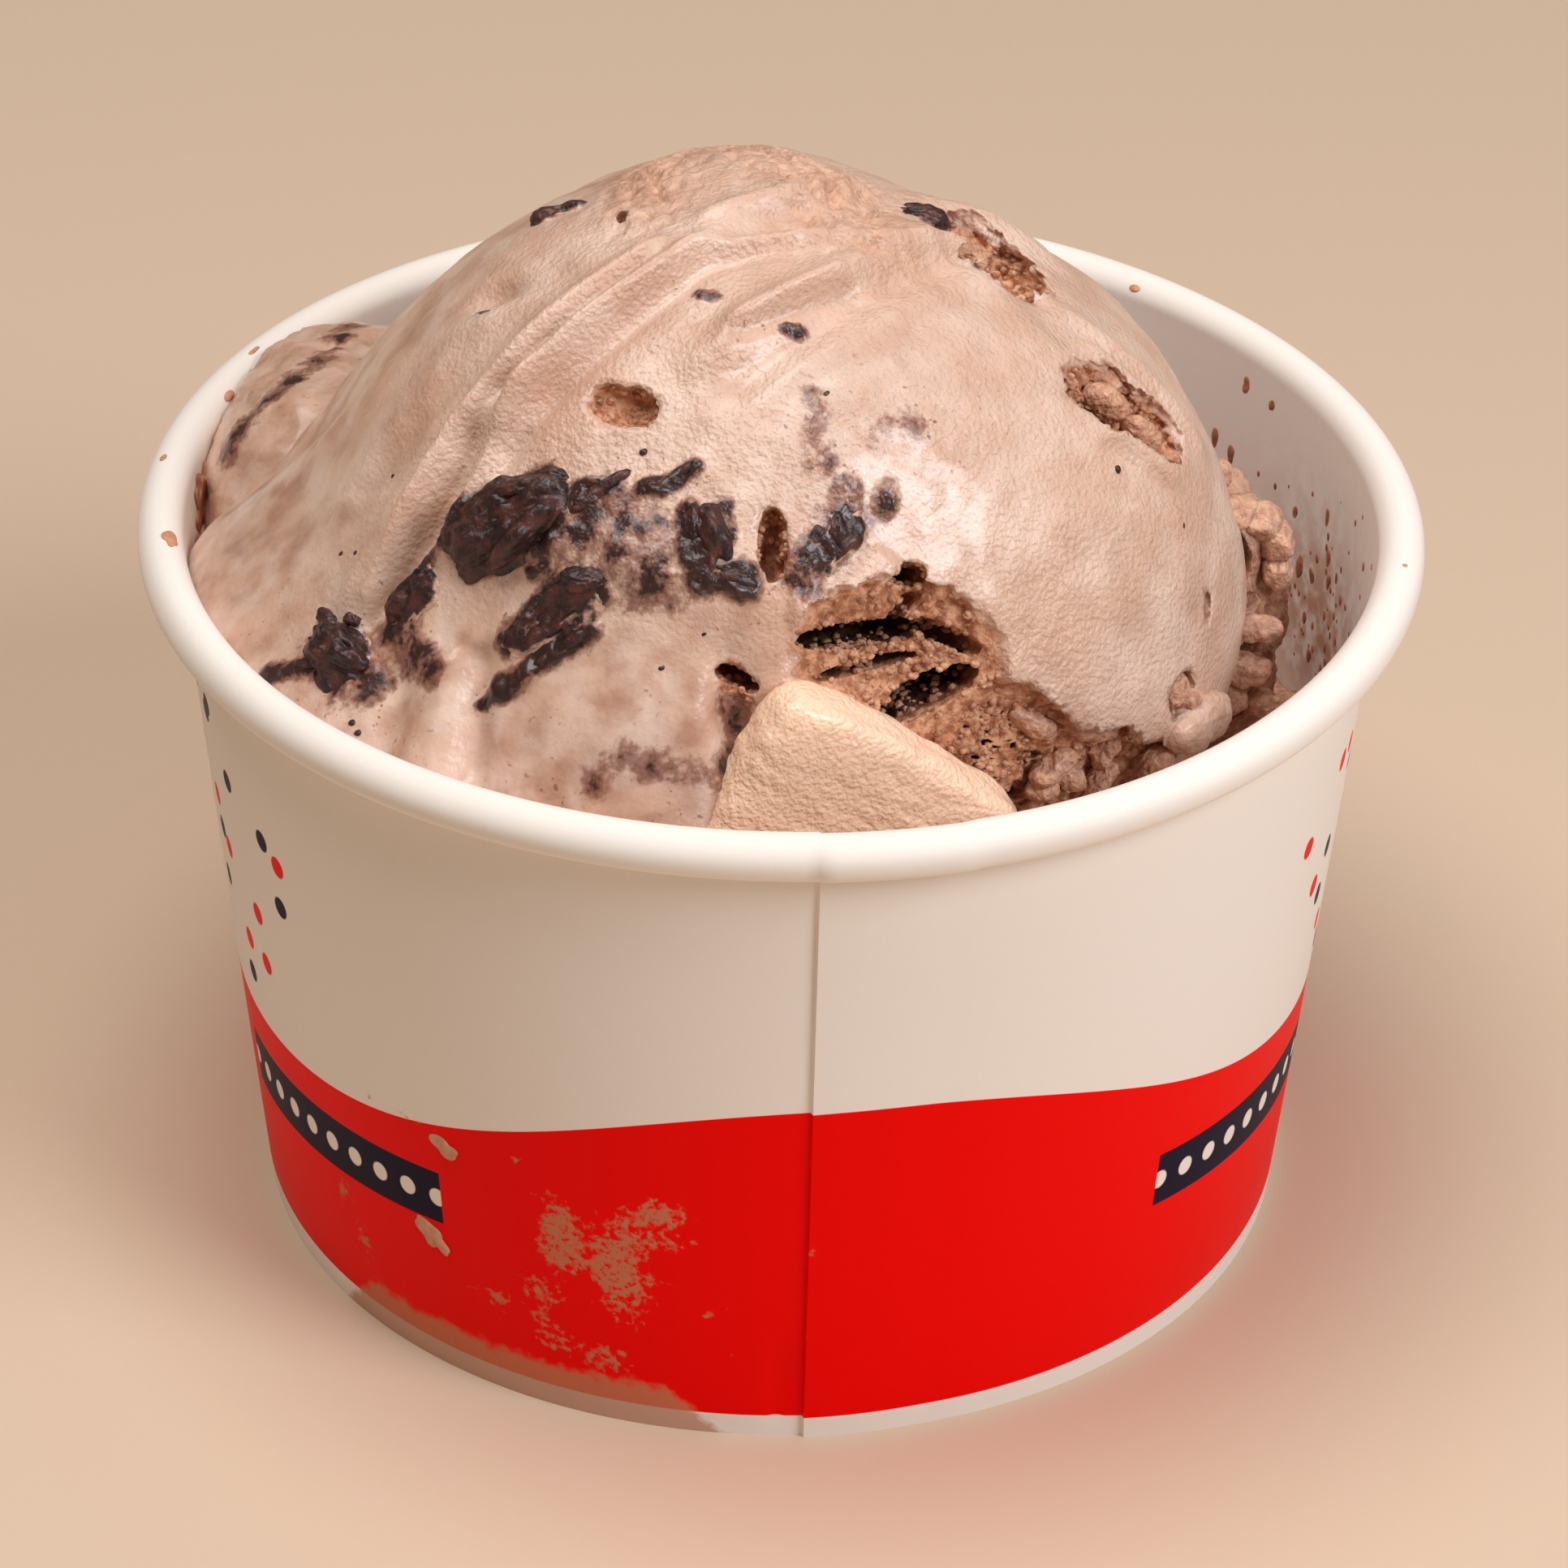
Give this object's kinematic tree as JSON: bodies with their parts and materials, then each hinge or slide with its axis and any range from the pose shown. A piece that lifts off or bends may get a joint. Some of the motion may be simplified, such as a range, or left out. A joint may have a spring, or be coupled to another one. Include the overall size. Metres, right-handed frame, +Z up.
{
  "type": "gelato cup",
  "caption": "Squat paper tub with a rolled rim, filled with a large scoop of chocolate gelato with fudge pieces standing above the rim.",
  "frame": {"origin": "middle of the tub's foot, on the surface it stands on", "axes": "+Z up, -Y towards the side seam and the torn front of the scoop, +X to the right of someone who faces the seam"},
  "size_m": [0.0948, 0.0949, 0.0845],
  "materials": {
    "board": "white coated board with a printed red band",
    "gelato": "moist chocolate gelato, smooth and glossy outside, crumbly where torn",
    "fudge": "dark fudge with a moist sheen",
    "stain": "dried gelato drips and splashes"
  },
  "bodies": {
    "root": {"tub_wall": "board", "tub_base": "board", "scoop": "gelato", "slab": "gelato", "gelato_left": "gelato", "gelato_right": "gelato", "gelato_bed": "gelato", "fudge_large": "fudge", "fudge_tail": "fudge", "fudge_wedge": "fudge", "fudge_bar": "fudge", "fudge_middle": "fudge", "fudge_glazed": "fudge", "fudge_top_right": "fudge", "fudge_top_left": "fudge"}
  },
  "joints": []
}
